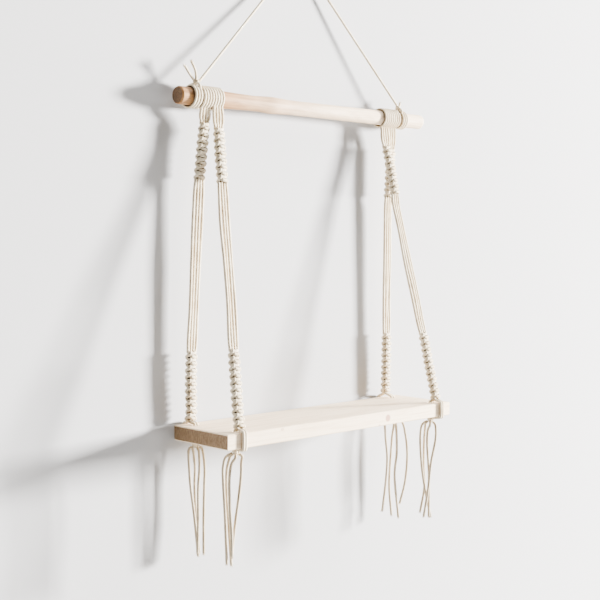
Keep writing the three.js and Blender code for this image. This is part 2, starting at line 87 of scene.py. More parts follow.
# Each leg: insets from its end of the board, the degrees from the dowel's top at which its strands leave
# the wood, how far its upper sinnet starts below the dowel's axis and its lower one ends above the board,
# how many knots the lower one has, and the bends off the straight line, as pairs of height above the board
# and shift along X, both in millimetres.
LEGS = {
    "back_left": {
        "side": -1, "row": "back", "top": 0.0324, "foot": 0.0175, "edge": 0.0195, "hole": 0.021,
        "leave": 155, "upper_drop": 0.033, "lower_rise": 0.0065, "lower_knots": 10,
        "bend": [(0, 0), (18, 1.6), (55, -1.2), (100, -2), (215, -1.2), (325, -0.6), (365, 2.2),
                 (400, 4.6)],
    },
    "front_left": {
        "side": -1, "row": "front", "top": 0.0528, "foot": 0.0308, "edge": 0.0265, "hole": 0.0275,
        "leave": 135, "upper_drop": 0.0395, "lower_rise": 0.005, "lower_knots": 11,
        "bend": [(0, 0), (20, -1), (40, -0.6), (105, 0.3), (217, 2.7), (329, 4.2), (365, 4.6), (402, 5.4)],
    },
    "back_right": {
        "side": 1, "row": "back", "top": 0.0402, "foot": 0.0384, "edge": 0.0395, "hole": 0.031,
        "leave": 165, "upper_drop": 0.046, "lower_rise": 0.01, "lower_knots": 10,
        "bend": [(0, 0), (60, 0.4), (114, -0.7), (208, -1.9), (306, -2.4), (330, -0.4), (362, 0.6),
                 (395, 2.5)],
    },
    "front_right": {
        "side": 1, "row": "front", "top": 0.0614, "foot": 0.0173, "edge": 0.022, "hole": 0.0265,
        "leave": 165, "upper_drop": 0.044, "lower_rise": 0.0065, "lower_knots": 11,
        "bend": [(0, 0), (50, 0), (98, 1), (122, -0.6), (214, -1.1), (308, -2.2), (328, 0.8), (362, 2.8),
                 (398, 2.3)],
    },
}
FOOT_DEPTH = {"back": 0.011, "front": 0.096}
HOLE_DEPTH = {"back": 0.0185, "front": 0.0925}

# Tassel strands, as the part's source routes them: millimetres from the foot knot's centre.
TASSEL_ROUTES = {
    "back_left": [
        [(-5, 3.2, -4), (-7.2, 5.4, -14), (-6, 5.5, -32), (-4, 5.2, -56), (0.5, 2.5, -97), (4, -1.5, -150)],
        [(1.5, 5.3, -4), (3, 7, -14), (3.5, 5, -32), (2.5, 4.5, -56), (4.5, 3.5, -100), (7, 0, -147)],
        [(0, -5, -4.8), (0.5, -7.5, -14), (1, -7.4, -32), (0, -6, -56), (0, -6.2, -100),
         (-0.5, -5.5, -145)],
        [(5.6, -2.2, -3.6), (8.5, -6, -12), (9, -8.5, -30), (8.5, -8.5, -56), (8, -8, -100),
         (8.2, -8.2, -147)],
    ],
    "front_left": [
        [(-5.4, 3.6, -2.8), (-10, 9.2, -8), (-12, 11.6, -21), (-11.6, 11.6, -39), (-9.8, 9.7, -85),
         (-7.9, 7.9, -147)],
        [(-2, 5, -4.4), (-4.2, 9, -13), (-5.6, 11.2, -24), (-5.6, 11.6, -59), (-3.4, 9.4, -99),
         (-1, 7, -150)],
        [(-4, -3.8, -4.8), (-7.6, 0, -15), (-9.2, 2.2, -34), (-8.6, 1.6, -73), (-7, -0.4, -110),
         (-6.6, -0.6, -136)],
        [(4.4, -3, -4.2), (5.2, -4.6, -14), (5, -4.6, -28), (3, -3, -56), (-0.4, 0.4, -94),
         (-3.6, 3.6, -139)],
    ],
    "back_right": [
        [(-5.2, 2.8, -4.2), (-7.6, 7, -14), (-6.8, 6.6, -36), (-4.6, 4.6, -67), (-5.5, 5.4, -100),
         (-9.3, 9.3, -153)],
        [(3.6, 4.4, -3.8), (6.8, 1.6, -14), (5, 3, -36), (2.6, 4.4, -77), (1.8, 5.2, -114),
         (4.6, 2.4, -161)],
        [(0.6, -5.2, -4.8), (1.5, -7.6, -16), (2.2, -8.6, -36), (2.7, -8.7, -61), (0.7, -6.7, -95),
         (5.4, -11.4, -162)],
        [(6.2, -1.4, -3.4), (12, -11, -12), (15.4, -15.4, -32), (17.6, -17.6, -64), (15.6, -15.6, -106),
         (9.6, -10.4, -141)],
    ],
    "front_right": [
        [(-5.6, 3.2, -2.8), (-9.2, 8.6, -8), (-10.8, 10.6, -23), (-9, 8.9, -70), (-4.6, 5.4, -106),
         (6, 2, -151)],
        [(-1, 5.4, -4.2), (-1, 9.4, -14), (-2, 10.2, -30), (-2.2, 10.2, -75), (-1, 9.4, -106),
         (-5.4, 13.4, -144)],
        [(1.6, -4.8, -4.6), (1.4, -9.6, -14), (0.4, -9.8, -30), (-4.3, -5.7, -65), (-7.2, -2.8, -107),
         (-11.4, 1.4, -148)],
        [(-4.4, -3, -5), (-4.6, 1, -16), (-5, 2, -34), (-2.8, -0.4, -80), (-2.7, -1, -115),
         (-2.6, -1.4, -149)],
    ],
}

# Wrap tails and the hanging cord's feet, as the part's source places them from each wrap knot.
WRAP_TAILS = {
    -1: [
        [(0, 0, 0), (5, 1, 5), (12, 1, 12.5), (17.5, 0.5, 18.5), (19.5, 0, 19.5)],
        [(0, 0, 0), (0.5, -1, 6.5), (2.5, -1.5, 15), (8.8, -1, 26.5)],
    ],
    1: [[(0, 0, 0), (2.5, 0, 5), (3.8, 0.5, 8.5)]],
}
HANG_FOOT = {-1: (0.0049, 0.0012), 1: (0.0035, 0.0033)}


# Camera: the photograph's own place and angle.

def add_camera():
    """A level-headed camera turned yaw from +Y towards +X, raised by pitch and rolled by roll."""
    place = (-1.1958, -1.2173, -0.3939)
    yaw, pitch, roll = 0.7797, -0.0557, 0.0082
    ahead = np.array([math.sin(yaw) * math.cos(pitch), math.cos(yaw) * math.cos(pitch), math.sin(pitch)])
    level = np.array([math.cos(yaw), -math.sin(yaw), 0])
    rise = np.cross(level, ahead)
    right = math.cos(roll) * level + math.sin(roll) * rise
    up = -math.sin(roll) * level + math.cos(roll) * rise
    data = bpy.data.cameras.new("photo_camera")
    data.sensor_width = 36
    data.lens = 70.48
    data.clip_start = 0.05
    data.clip_end = 50
    camera = bpy.data.objects.new("photo_camera", data)
    turn = Matrix([[right[k], up[k], -ahead[k]] for k in range(3)]).to_4x4()
    camera.matrix_world = Matrix.Translation(place) @ turn
    bpy.context.scene.collection.objects.link(camera)
    bpy.context.scene.camera = camera


# Lines and surfaces.

def smooth_path(points, step=0.0009):
    """The centripetal Catmull-Rom line through the points, cut at equal steps along its length.

    The knot value grows by the square root of each chord, and every stretch between two points is the
    blend of the three lines through its four nearest points.
    """
    cuts = 14
    p = np.asarray(points, float)
    p = np.vstack([2 * p[0] - p[1], p, 2 * p[-1] - p[-2]])
    knots = np.concatenate([[0], np.cumsum(np.sqrt(np.linalg.norm(np.diff(p, axis=0), axis=1)))])
    share = np.linspace(0, 1, cuts, endpoint=False)
    t = knots[1:-2, None] + share[None, :] * (knots[2:-1] - knots[1:-2])[:, None]

    def blend(a, b, ta, tb):
        weight = ((t - ta[:, None]) / (tb - ta)[:, None])[..., None]
        return a * (1 - weight) + b * weight

    p0, p1, p2, p3 = (p[i:len(p) - 3 + i, None, :] for i in range(4))
    t0, t1, t2, t3 = (knots[i:len(p) - 3 + i] for i in range(4))
    a, b, c = blend(p0, p1, t0, t1), blend(p1, p2, t1, t2), blend(p2, p3, t2, t3)
    line = blend(blend(a, b, t0, t2), blend(b, c, t1, t3), t1, t2).reshape(-1, 3)
    return even_steps(np.vstack([line, p[-2]]), step)


def eased(share):
    """3 t^2 - 2 t^3 of a share t, held between 0 and 1."""
    t = np.clip(share, 0, 1)
    return t * t * (3 - 2 * t)


def even_steps(line, step):
    """The same line with points at equal steps along its length."""
    along = np.concatenate([[0], np.cumsum(np.linalg.norm(np.diff(line, axis=0), axis=1))])
    places = np.linspace(0, along[-1], max(2, int(round(along[-1] / step)) + 1))
    return np.stack([np.interp(places, along, line[:, k]) for k in range(3)], axis=1)


def carried_frames(path):
    """Unit tangents T and normals N and B along a path: each N is the last one less its part along T."""
    tangents = np.gradient(path, axis=0)
    tangents /= np.linalg.norm(tangents, axis=1)[:, None]
    normals = np.empty_like(tangents)
    normal = np.array([1.0, 0.2, 0.1])
    for i, tangent in enumerate(tangents):
        normal = normal - tangent * (normal @ tangent)
        normal /= np.linalg.norm(normal)
        normals[i] = normal
    return tangents, normals, np.cross(tangents, normals)


def tube(path, radius=CORD_RADIUS, sides=12, taper=0.6, wobble=0.0):
    """Rings C(s) + r(s) (cos a N(s) + sin a B(s)) along a path, with drawn-in ends.

    r(s) is one radius or one for each point. Near an end, over taper times the radius, it is the share
    e + (1 - e) sqrt(1 - (1 - t)^2) of itself, with t from 0 to 1 and e the end's share. The factor
    1 + wobble (sin(s / a + p) + sin(s / b + q)) swells it slowly, with p and q drawn at random.
    """
    end_share, short_wave, long_wave = 0.35, 0.0031, 0.0083
    path = np.asarray(path, float)
    radius = np.broadcast_to(radius, len(path))
    along = np.concatenate([[0], np.cumsum(np.linalg.norm(np.diff(path, axis=0), axis=1))])
    tangents, normals, binormals = carried_frames(path)
    phase = rng.uniform(0, 2 * math.pi, 2)
    swell = 1 + wobble * (np.sin(along / short_wave + phase[0]) + np.sin(along / long_wave + phase[1]))
    inwards = np.clip(np.minimum(along, along[-1] - along) / (taper * radius[0]), 0, 1)
    size = radius * swell * (end_share + (1 - end_share) * np.sqrt(1 - (1 - inwards) ** 2))
    angle = 2 * math.pi * np.arange(sides) / sides
    ring = (np.cos(angle)[None, :, None] * normals[:, None, :]
            + np.sin(angle)[None, :, None] * binormals[:, None, :])
    rings = path[:, None, :] + size[:, None, None] * ring
    # open is each ring point's crevice light share: 1 here, lowered by callers to paint shade.
    return {"rings": rings, "ends": (path[0], path[-1]), "along": along, "open": np.ones(rings.shape[:2])}


def piece(name, surfaces, material, body, replaced):
    """One mesh from ring surfaces: quads between rings and a fan at each end, with UV = (round, along)."""
    places, corners, totals, uvs, crevice_light = [], [], [], [], []
    offset = 0
    for surface in surfaces:
        rings = surface["rings"]
        n, m = rings.shape[:2]
        places.append(np.vstack([rings.reshape(-1, 3), surface["ends"][0], surface["ends"][1]]))
        # Each surface's crevice light share, 1 at the two end poles; below 1 the cotton paints shade.
        crevice_light.append(np.append(surface["open"].reshape(-1), [1, 1]))
        i, j = np.meshgrid(np.arange(n - 1), np.arange(m), indexing="ij")
        nextj = (j + 1) % m
        quads = np.stack([i * m + j, i * m + nextj, (i + 1) * m + nextj, (i + 1) * m + j], axis=-1)
        along = surface["along"] / CORD_DIAMETER
        u = np.stack([j / m, (j + 1) / m, (j + 1) / m, j / m], axis=-1)
        v = np.stack([along[i], along[i], along[i + 1], along[i + 1]], axis=-1)
        corners.append(quads.reshape(-1) + offset)
        totals.append(np.full((n - 1) * m, 4))
        uvs.append(np.stack([u.reshape(-1), v.reshape(-1)], axis=1))
        side = np.arange(m)
        nexts = (side + 1) % m
        for pole, ring, order in ((n * m, 0, (nexts, side)), (n * m + 1, n - 1, (side, nexts))):
            fan = np.stack([np.full(m, pole), ring * m + order[0], ring * m + order[1]], axis=1)
            corners.append(fan.reshape(-1) + offset)
            totals.append(np.full(m, 3))
            middle = (side + 0.5) / m
            fan_u = np.stack([middle, side / m, (side + 1) / m], axis=1).reshape(-1)
            uvs.append(np.stack([fan_u, np.full(3 * m, along[ring])], axis=1))
        offset += n * m + 2
    made = mesh_object(name, np.vstack(places), np.concatenate(corners), np.concatenate(totals),
                       np.vstack(uvs), np.concatenate(crevice_light), material)
    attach(made, body)
    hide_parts(*replaced)
    return made


def mesh_object(name, places, corners, totals, uvs, crevice_light, material):
    """A smooth mesh object from whole arrays: vertices, faces' corners and their counts, UV, and the
    crevice light share that the cotton turns into painted shade.
    """
    mesh = bpy.data.meshes.new(name)
    mesh.vertices.add(len(places))
    mesh.vertices.foreach_set("co", places.astype(np.float32).reshape(-1))
    mesh.loops.add(len(corners))
    mesh.loops.foreach_set("vertex_index", corners.astype(np.int32))
    mesh.polygons.add(len(totals))
    starts = np.concatenate([[0], np.cumsum(totals)[:-1]])
    mesh.polygons.foreach_set("loop_start", starts.astype(np.int32))
    mesh.polygons.foreach_set("loop_total", totals.astype(np.int32))
    mesh.polygons.foreach_set("use_smooth", np.full(len(totals), True))
    layer = mesh.uv_layers.new(name="cord_uv")
    layer.data.foreach_set("uv", uvs.astype(np.float32).reshape(-1))
    # The crevice light share, from which the cotton paints shade in crevices.
    shade = mesh.attributes.new("crevice_light", "FLOAT", "POINT")
    shade.data.foreach_set("value", crevice_light.astype(np.float32))
    mesh.update(calc_edges=True)
    mesh.validate()
    mesh.materials.append(material)
    made = bpy.data.objects.new(name, mesh)
    bpy.context.scene.collection.objects.link(made)
    return made


# Places on the dowel and the board.

def from_end(side, inset):
    """A place along X, measured inwards from one end of the board."""
    return side * (BOARD_HALF - inset)


def round_dowel(x, degrees, radius):
    """A point round the dowel's axis, by its angle from the top towards the front."""
    angle = math.radians(degrees)
    return (x, -DOWEL_SETBACK - radius * math.sin(angle), DOWEL_AXIS_Z + radius * math.cos(angle))


def turn_radius(side, steps):
    """Centreline radius of the source's turns, whose flats clear the wood."""
    return (SEATS[side]["wood"] + TOUCH_GAP + CORD_RADIUS) / math.cos(math.pi / steps)


def ride_radius(side):
    """Centreline radius of what rides over the wrap's turns."""
    wind_gap = 0.0007
    return (turn_radius(side, WRAP_STEPS) + CORD_DIAMETER + wind_gap) / math.cos(math.pi / WRAP_STEPS)


def crevice_light_round_dowel(points, radius):
    """Crevice light share for painted shade between the turns on the dowel: 1 outside the turns' middle
    radius, falling to 0 by the wood.
    """
    ease, middle = 0.8 * CORD_RADIUS, 0.45
    off_axis = np.hypot(points[..., 1] + DOWEL_SETBACK, points[..., 2] - DOWEL_AXIS_Z)
    return np.clip((off_axis - radius) / ease + middle, 0, 1)


def wrap_knot_centre(side):
    """The middle of the knot on top of a wrap."""
    return np.array(round_dowel(from_end(side, SEATS[side]["knot"]), 0, ride_radius(side)))


def hole_centre(leg):
    """The middle of the upper rim of a leg's hole in the board."""
    return np.array([from_end(leg["side"], leg["hole"]), -HOLE_DEPTH[leg["row"]], BOARD_TOP])


def foot_knot_centre(leg):
    """The middle of the knot under a leg's hole, which just clears the board."""
    return hole_centre(leg) + [0, 0, BOARD_BOTTOM - BOARD_TOP - TOUCH_GAP - FOOT_KNOT_HALF_HEIGHT]


class LegFrame:
    """A leg's own axes: origin at its foot on the board, w up the leg, u along the shelf, v to the wall.

    SINNET_EASE is the height over which a sinnet begins. Painted shade in a crevice is darkest up to
    CREVICE_SHARE of the way out from the sinnet's middle, and has ended CREVICE_EASE further on.
    """

    SINNET_EASE = 0.003
    CREVICE_SHARE = 0.62
    CREVICE_EASE = 0.32

    def __init__(self, leg):
        side = leg["side"]
        radius = turn_radius(side, HITCH_STEPS)
        self.foot = np.array([from_end(side, leg["foot"]), -FOOT_DEPTH[leg["row"]], BOARD_TOP])
        top = np.array([from_end(side, leg["top"]), -DOWEL_SETBACK, DOWEL_AXIS_Z - radius])
        line = top - self.foot
        self.length = np.linalg.norm(line)
        self.up = line / self.length
        along = np.array([1.0, 0, 0]) - self.up * self.up[0]
        self.along = along / np.linalg.norm(along)
        self.away = np.cross(self.up, self.along)
        self.upper_top = self.length - leg["upper_drop"] + radius
        self.upper_bottom = self.upper_top - UPPER_KNOTS * KNOT_PITCH
        self.lower_bottom = leg["lower_rise"]
        self.lower_top = self.lower_bottom + leg["lower_knots"] * KNOT_PITCH
        self.heights, self.shifts = np.array(leg["bend"]).T * MM

    def place(self, points):
        """World points from (u, v, w) rows, shifted along X by the leg's photographed bend."""
        p = np.asarray(points, float)
        world = self.foot + p[:, :1] * self.along + p[:, 1:2] * self.away + p[:, 2:] * self.up
        shift = np.interp(p[:, 2], self.heights, self.shifts)
        world[:, 0] += shift
        return world

    def in_sinnet(self, points):
        """1 for a world point inside a sinnet and 0 outside, eased over a few millimetres of height."""
        height = (points - self.foot) @ self.up
        inside = np.zeros(len(points))
        for low, high in ((self.lower_bottom, self.lower_top), (self.upper_bottom, self.upper_top)):
            depth = np.minimum(height - low, high - height) / self.SINNET_EASE + 0.5
            inside = np.maximum(inside, eased(depth))
        return inside

    def crevice_light_in_sinnet(self, points):
        """Crevice light share for painted shade in a sinnet: 1 on its outside and 0 in its crevices, by the
        share of an ellipse round its middle.
        """
        offset = points - self.foot
        height = offset @ self.up
        across = offset @ self.along - np.interp(height, self.heights, self.shifts)
        share = np.hypot(across / (SINNET_WIDTH / 2), offset @ self.away / SINNET_HALF_DEPTH)
        inside = self.in_sinnet(points.reshape(-1, 3)).reshape(share.shape)
        return 1 - inside * (1 - np.clip((share - self.CREVICE_SHARE) / self.CREVICE_EASE, 0, 1))


# Square knots. A half knot's front cord, as shares of KNOT_HALF_WIDTH across, of KNOT_STAND_OFF in front of
# the two middle strands, and of the half knot's height. It rounds the left edge, crosses low in front, goes
# to the back inside the other cord's turn and over that cord's start. AT_KNOT and FREE are where the four
# strands lie across, at a sinnet's ends and half way between two sinnets.
HALF_KNOT_SHARES = [
    (-1.00, 0.10, -0.20), (-0.94, -0.50, -0.44), (-0.62, -0.92, -0.55), (0.00, -1.00, -0.50),
    (0.44, -0.86, -0.40), (0.60, -0.12, -0.28), (0.66, 0.70, -0.30), (0.80, 1.02, -0.48),
    (0.98, 0.62, -0.82),
]
KNOT_HALF_WIDTH = 0.005768
KNOT_STAND_OFF = 0.0034
AT_KNOT = (-OUTER_STRAND, -INNER_STRAND, INNER_STRAND, OUTER_STRAND)
FREE = (-OUTER_FREE, -INNER_FREE, INNER_FREE, OUTER_FREE)


def knotter(top, knots, hand):
    """One knotting cord's points (u, v, w) down a sinnet of square knots.

    hand -1 starts at the left and always crosses in front, hand 1 starts at the right and crosses
    behind: it is the same line turned half round about w. Each half knot mirrors the one above it.
    """
    uneven_width, uneven_height = 0.025, 0.00012
    shares = np.array(HALF_KNOT_SHARES)
    half = KNOT_PITCH / 2
    points = []
    for k in range(2 * knots):
        mirror = 1 if k % 2 == 0 else -1
        sway = 1 + rng.normal(0, uneven_width)
        block = shares * [mirror * KNOT_HALF_WIDTH * sway, KNOT_STAND_OFF, half]
        block = block * [-hand, -hand, 1]
        block[:, 2] += top - k * half + rng.normal(0, uneven_height)
        points.append(block)
    return np.vstack(points)


def sinnet_strand(index, top, knots):
    """Strand 0 to 3 of a sinnet from its top down: 0 and 3 knot, 1 and 2 run straight inside."""
    if index in (0, 3):
        return knotter(top, knots, -1 if index == 0 else 1)
    first, last, drawn_in = 0.06, 0.97, 0.9
    heights = top - np.linspace(first, last, 2 * knots) * knots * KNOT_PITCH
    return np.array([(AT_KNOT[index] * drawn_in, 0, height) for height in heights])


def plain_strand(leg_frame, index):
    """The free stretch between two sinnets: it springs outwards near each of them and sags a little."""
    at_knot, free = AT_KNOT[index], FREE[index]
    between = (at_knot + free) / 2
    tuck, spring, settled = 0.002, 0.006, 0.016
    high, low = leg_frame.upper_bottom, leg_frame.lower_top
    sag = rng.normal(0, 0.0005, 3)
    middle = (high + low) / 2
    return np.array([
        (at_knot, 0, high - tuck), (between, 0, high - spring), (free, sag[0], high - settled),
        (free + sag[1], sag[0], (high + middle) / 2), (free + sag[2], sag[1], middle),
        (free - sag[1], sag[2], (low + middle) / 2), (free, 0, low + settled),
        (between, 0, low + spring), (at_knot, 0, low + tuck),
    ])


# Hitches: the angle of the bight under the dowel's rear, the height of the cords' centrelines over the
# wood, and how much further out they run where they turn back or leave.
BIGHT_DEGREES = -150
HITCH_RISE = 1.04 * CORD_RADIUS
HITCH_SLACK = 0.0004


def head_strand(leg, leg_frame, index):
    """One strand of a hitch in world points, from the bight under the dowel's rear round to the sinnet."""
    side = leg["side"]
    at_knot = AT_KNOT[index]
    radius = SEATS[side]["wood"] + HITCH_RISE
    row_offset = 0 if leg["row"] == "back" else 4
    place = index if side < 0 else 3 - index
    x = from_end(side, SEATS[side]["head"] + (row_offset + place) * TURN_PITCH)
    nearest, step = 9, 15
    round_wood = range(BIGHT_DEGREES, leg["leave"] - nearest, step)
    turns = np.array([round_dowel(x, degrees, radius) for degrees in round_wood])
    drawn_in, above_sinnet = 0.95, 0.003
    low = leg_frame.place([(at_knot * drawn_in, 0, leg_frame.upper_top + above_sinnet)])[0]
    leaving = np.array(round_dowel(x, leg["leave"], radius + HITCH_SLACK))
    shares, spread = np.array([0.1, 0.3, 0.55, 0.8]), np.array([0.12, 0.22, 0.2])
    down = leaving + shares[:, None] * (low - leaving)
    down[1:, 0] += at_knot * spread + rng.normal(0, 0.0002, 3)
    return x, np.vstack([turns, leaving[None], down, low[None]])


def bight(leg, x_from, x_to):
    """The hitch's folded middle: a flattened half circle on the dowel's rear from one turn to the next."""
    radius = SEATS[leg["side"]]["wood"] + HITCH_RISE
    half, flattened = abs(x_to - x_from) / 2, 0.6
    points = []
    for degrees in (30, 60, 90, 120, 150):
        angle = math.radians(degrees)
        x = (x_from + x_to) / 2 + (x_from - x_to) / 2 * math.cos(angle)
        below = flattened * math.degrees(half * math.sin(angle) / radius)
        points.append(round_dowel(x, BIGHT_DEGREES - below, radius + HITCH_SLACK))
    return np.array(points)


def foot_strand(leg, leg_frame, index):
    """A strand from the lower sinnet to the foot knot: 0 and 3 over the edge, 1 and 2 through the hole.

    It starts just above the sinnet's lower end, at high, closes in on its partner at low, and ends inside
    the top of the knot.
    """
    outwards = -1 if leg["row"] == "front" else 1
    hand = -1 if index < 2 else 1
    aside = hand * FOOT_CORD_OFFSET
    knot = foot_knot_centre(leg)
    hole = hole_centre(leg)
    high, low = leg_frame.lower_bottom + 0.001, leg_frame.lower_bottom - 0.0022
    knot_x, knot_top = hole[0] + aside * 0.6, knot[2] + 0.003
    if index in (0, 3):
        leaving = leg_frame.place([
            (AT_KNOT[index] * 0.9, outwards * 0.001, high),
            (aside * 1.6, outwards * 0.0017, low),
        ])
        edge_y = -BOARD_DEPTH if leg["row"] == "front" else 0
        edge_x = from_end(leg["side"], leg["edge"]) + aside
        reach = CORD_RADIUS + 0.0002
        corners = []
        for height, turn in ((BOARD_TOP, 1), (BOARD_BOTTOM, -1)):
            for degrees in (80, 40, 5)[::turn]:
                angle = math.radians(degrees)
                y = edge_y + outwards * reach * math.cos(angle)
                corners.append((edge_x, y, height + turn * reach * math.sin(angle)))
        return np.vstack([leaving, corners, [(knot_x, knot[1] + outwards * 0.003, knot_top)]])
    leaving = leg_frame.place([(aside * 1.05, 0, high), (aside, -outwards * 0.0016, low)])
    heights = (BOARD_TOP + CORD_RADIUS, (BOARD_TOP + BOARD_BOTTOM) / 2, BOARD_BOTTOM)
    down = [(hole[0] + aside, hole[1], height) for height in heights]
    return np.vstack([leaving, down, [(knot_x, knot[1], knot_top)]])


def add_leg(name, leg, cotton):
    """A leg's two cords, each folded over the dowel, knotted down both sinnets and led under the board."""
    lf = LegFrame(leg)
    sinnets = [f"upper_sinnet_{name}", f"lower_sinnet_{name}"]
    for cord_name, indices in (("outer", (0, 1)), ("inner", (2, 3))):
        if leg["side"] > 0:
            cord_name = {"outer": "inner", "inner": "outer"}[cord_name]
        halves = []
        xs = []
        for index in indices:
            x, head = head_strand(leg, lf, index)
            xs.append(x)
            down = np.vstack([
                sinnet_strand(index, lf.upper_top, UPPER_KNOTS),
                plain_strand(lf, index),
                sinnet_strand(index, lf.lower_top, leg["lower_knots"]),
            ])
            halves.append(np.vstack([head, lf.place(down), foot_strand(leg, lf, index)]))
        points = np.vstack([halves[0][::-1], bight(leg, xs[0], xs[1]), halves[1]])
        path = smooth_path(points)
        fullness = LEG_FULLNESS + SINNET_GAIN * lf.in_sinnet(path)
        cord = tube(path, CORD_RADIUS * fullness, wobble=0.012)
        # Painted shade: the cord darkens where it presses on the dowel and in the sinnets' crevices.
        turns = crevice_light_round_dowel(cord["rings"], SEATS[leg["side"]]["wood"] + CORD_RADIUS)
        cord["open"] = np.minimum(turns, lf.crevice_light_in_sinnet(cord["rings"]))
        numbers = [index + 1 for index in indices]
        replaced = [f"hitch_{name}_{cord_name}", *[f"strand_{name}_{k}" for k in numbers], *sinnets]
        piece(f"leg_cord_{name}_{cord_name}", [cord], cotton, "shelf", replaced)


def overhand(centre, size, turn):
    """An overhand knot's tube: the trefoil (sin t + 2 sin 2t, cos t - 2 cos 2t, -1.2 sin 3t) * size / 3.

    It is open round t = 0, and turned by turn[1] about X and then by turn[0] about Z, in radians.
    """
    opening = 0.25
    t = np.linspace(opening, 2 * math.pi - opening, 140)
    across, upwards = np.sin(t) + 2 * np.sin(2 * t), np.cos(t) - 2 * np.cos(2 * t)
    line = np.stack([across, upwards, -1.2 * np.sin(3 * t)], axis=1) * np.asarray(size) / 3
    turned = np.array(Matrix.Rotation(turn[0], 3, "Z") @ Matrix.Rotation(turn[1], 3, "X"))
    return tube(even_steps(line @ turned.T + centre, 0.0007), CORD_RADIUS * TIGHT, sides=10)


def add_foot_knot(name, leg, cotton):
    """The knot under the board: two overhand knots drawn into one lump."""
    centre = foot_knot_centre(leg)
    lumps = [
        overhand(centre, (0.0040, 0.0036, 0.0042), (0.4, 1.2)),
        overhand(centre, (0.0038, 0.0036, 0.0040), (1.9, 1.8)),
    ]
    piece(f"foot_knot_{name}", lumps, cotton, "shelf", [f"foot_{name}"])


def frayed_end(path, count):
    """Loose fibres of a cut end: three-sided spikes on a spiral of equal areas, leaning outwards."""
    golden_turn, rim, sunk, thickness = 0.382, 0.85 * CORD_RADIUS, 0.0012, 0.00028
    tangents, normals, binormals = carried_frames(path[-6:])
    end, ahead, side, up = path[-1], tangents[-1], normals[-1], binormals[-1]
    spikes = []
    for k in range(count):
        angle = 2 * math.pi * k * golden_turn
        reach = rim * math.sqrt((k + 0.5) / count)
        outwards = reach * (math.cos(angle) * side + math.sin(angle) * up)
        root = end - ahead * sunk + outwards
        lean = outwards * rng.uniform(0.1, 0.8)
        tip = root + ahead * (sunk + rng.uniform(0.0008, 0.0030)) + lean
        spikes.append(tube(np.linspace(root, tip, 3), thickness, sides=3, taper=2))
    return spikes


def add_tassels(name, leg, cotton):
    """The four loose strands under a foot, each a free cord hanging from the knot."""
    centre = foot_knot_centre(leg)
    clear, sunk = FOOT_KNOT_REACH + TOUCH_GAP, 0.0015
    for i, offsets in enumerate(TASSEL_ROUTES[name]):
        route = np.array(offsets, float) * MM
        leaving = route[0] / np.linalg.norm(route[0])
        start = [leaving * (clear - sunk), leaving * (clear + CORD_DIAMETER)]
        points = np.vstack([*start, route[1:]]) + centre
        path = smooth_path(points, 0.0012)
        surfaces = [tube(path, CORD_RADIUS * TASSEL_FULLNESS, wobble=0.015), *frayed_end(path, 16)]
        # Painted shade: the whole tassel is darkened, as if in the board's shade.
        surfaces[0]["open"] *= TASSEL_PAINTED_SHADE
        body = f"tassel_{name}"
        made = piece(f"loose_cord_{name}_{i + 1}", surfaces, cotton, body, [f"{body}_{i + 1}"])


def add_hanging_cord(cotton):
    """The cord from one wrap knot up over the support and down to the other, straight but for the bend."""
    bend_radius = 0.010
    ends = []
    for side in (-1, 1):
        inwards, up = HANG_FOOT[side]
        ends.append(wrap_knot_centre(side) + [-side * inwards, 0, up])
    top = CORD_RADIUS
    slopes = [math.atan2(top - end[2], abs(end[0])) for end in ends]
    spread = sum(slopes) / 2
    angles = np.linspace(-spread, spread, 13)
    arc_heights = top - bend_radius * (1 - np.cos(angles))
    arc = np.stack([bend_radius * np.sin(angles), np.zeros(len(angles)), arc_heights], axis=1)
    rise = np.linspace(ends[0], arc[0], 14, endpoint=False)
    fall = np.linspace(arc[-1], ends[1], 15)[1:]
    path = smooth_path(np.vstack([rise, arc, fall]), 0.0012)
    made = piece("support_cord", [tube(path, CORD_RADIUS, wobble=0.01)], cotton, "root", ["hanging_cord"])


def wrap_points(side):
    """Three turns round the dowel outwards from the knot, then back over them into the knot.

    The cord comes down from the knot over the first degrees, up to settle, winds on at an even pitch,
    climbs over the turns from climb_start to climb_end, and crosses back to the knot in the rest.
    """
    seat = SEATS[side]
    start_x, knot_x = from_end(side, seat["wrap"]), from_end(side, seat["knot"])
    turn = seat["wood"] + CORD_RADIUS
    over = ride_radius(side) - 0.0012 - turn
    total, settle, step = 1080, 45, 8
    climb_start, climb_end = total - 165, total - 95
    angles = np.arange(step, total - step + 1, float(step))
    settled = np.clip(angles / settle, 0, 1)
    x = start_x + side * TURN_PITCH * angles / 360
    x = knot_x + (x - knot_x) * settled
    climb = eased((angles - climb_start) / (climb_end - climb_start))
    radius = turn + over * (1 - settled ** 3) + over * climb
    back = eased((angles - climb_end) / (total - climb_end))
    turned_x = start_x + side * TURN_PITCH * climb_end / 360
    x = np.where(angles > climb_end, turned_x * (1 - back) + knot_x * back, x)
    return np.array([round_dowel(px, degrees, r) for px, degrees, r in zip(x, angles, radius)])


def add_wrap(side, name, cotton):
    """The hanging cord's end wound on the dowel and knotted on top, with its short cut ends."""
    centre = wrap_knot_centre(side)
    surfaces = [tube(smooth_path(wrap_points(side)), CORD_RADIUS)]
    # Painted shade between the wrap's turns, where they press on the dowel.
    surfaces[0]["open"] = crevice_light_round_dowel(surfaces[0]["rings"], SEATS[side]["wood"] + CORD_RADIUS)
    for tail in WRAP_TAILS[side]:
        route = np.array(tail, float) * MM * [side, 1, 1]
        path = smooth_path(route + centre, 0.0009)
        surfaces.append(tube(path, CORD_RADIUS * TIGHT))
        surfaces.extend(frayed_end(path, 12))
    surfaces.append(overhand(centre, (0.0028, 0.0030, 0.0030), (0.5 * side, 1.1)))
    surfaces.append(overhand(centre + [-side * 0.0012, 0, 0.0004], (0.0027, 0.0029, 0.0027), (1.8, 0.3)))
    piece(f"end_wrap_{name}", surfaces, cotton, "root", [f"wrap_{name}"])


# Dowel and board.

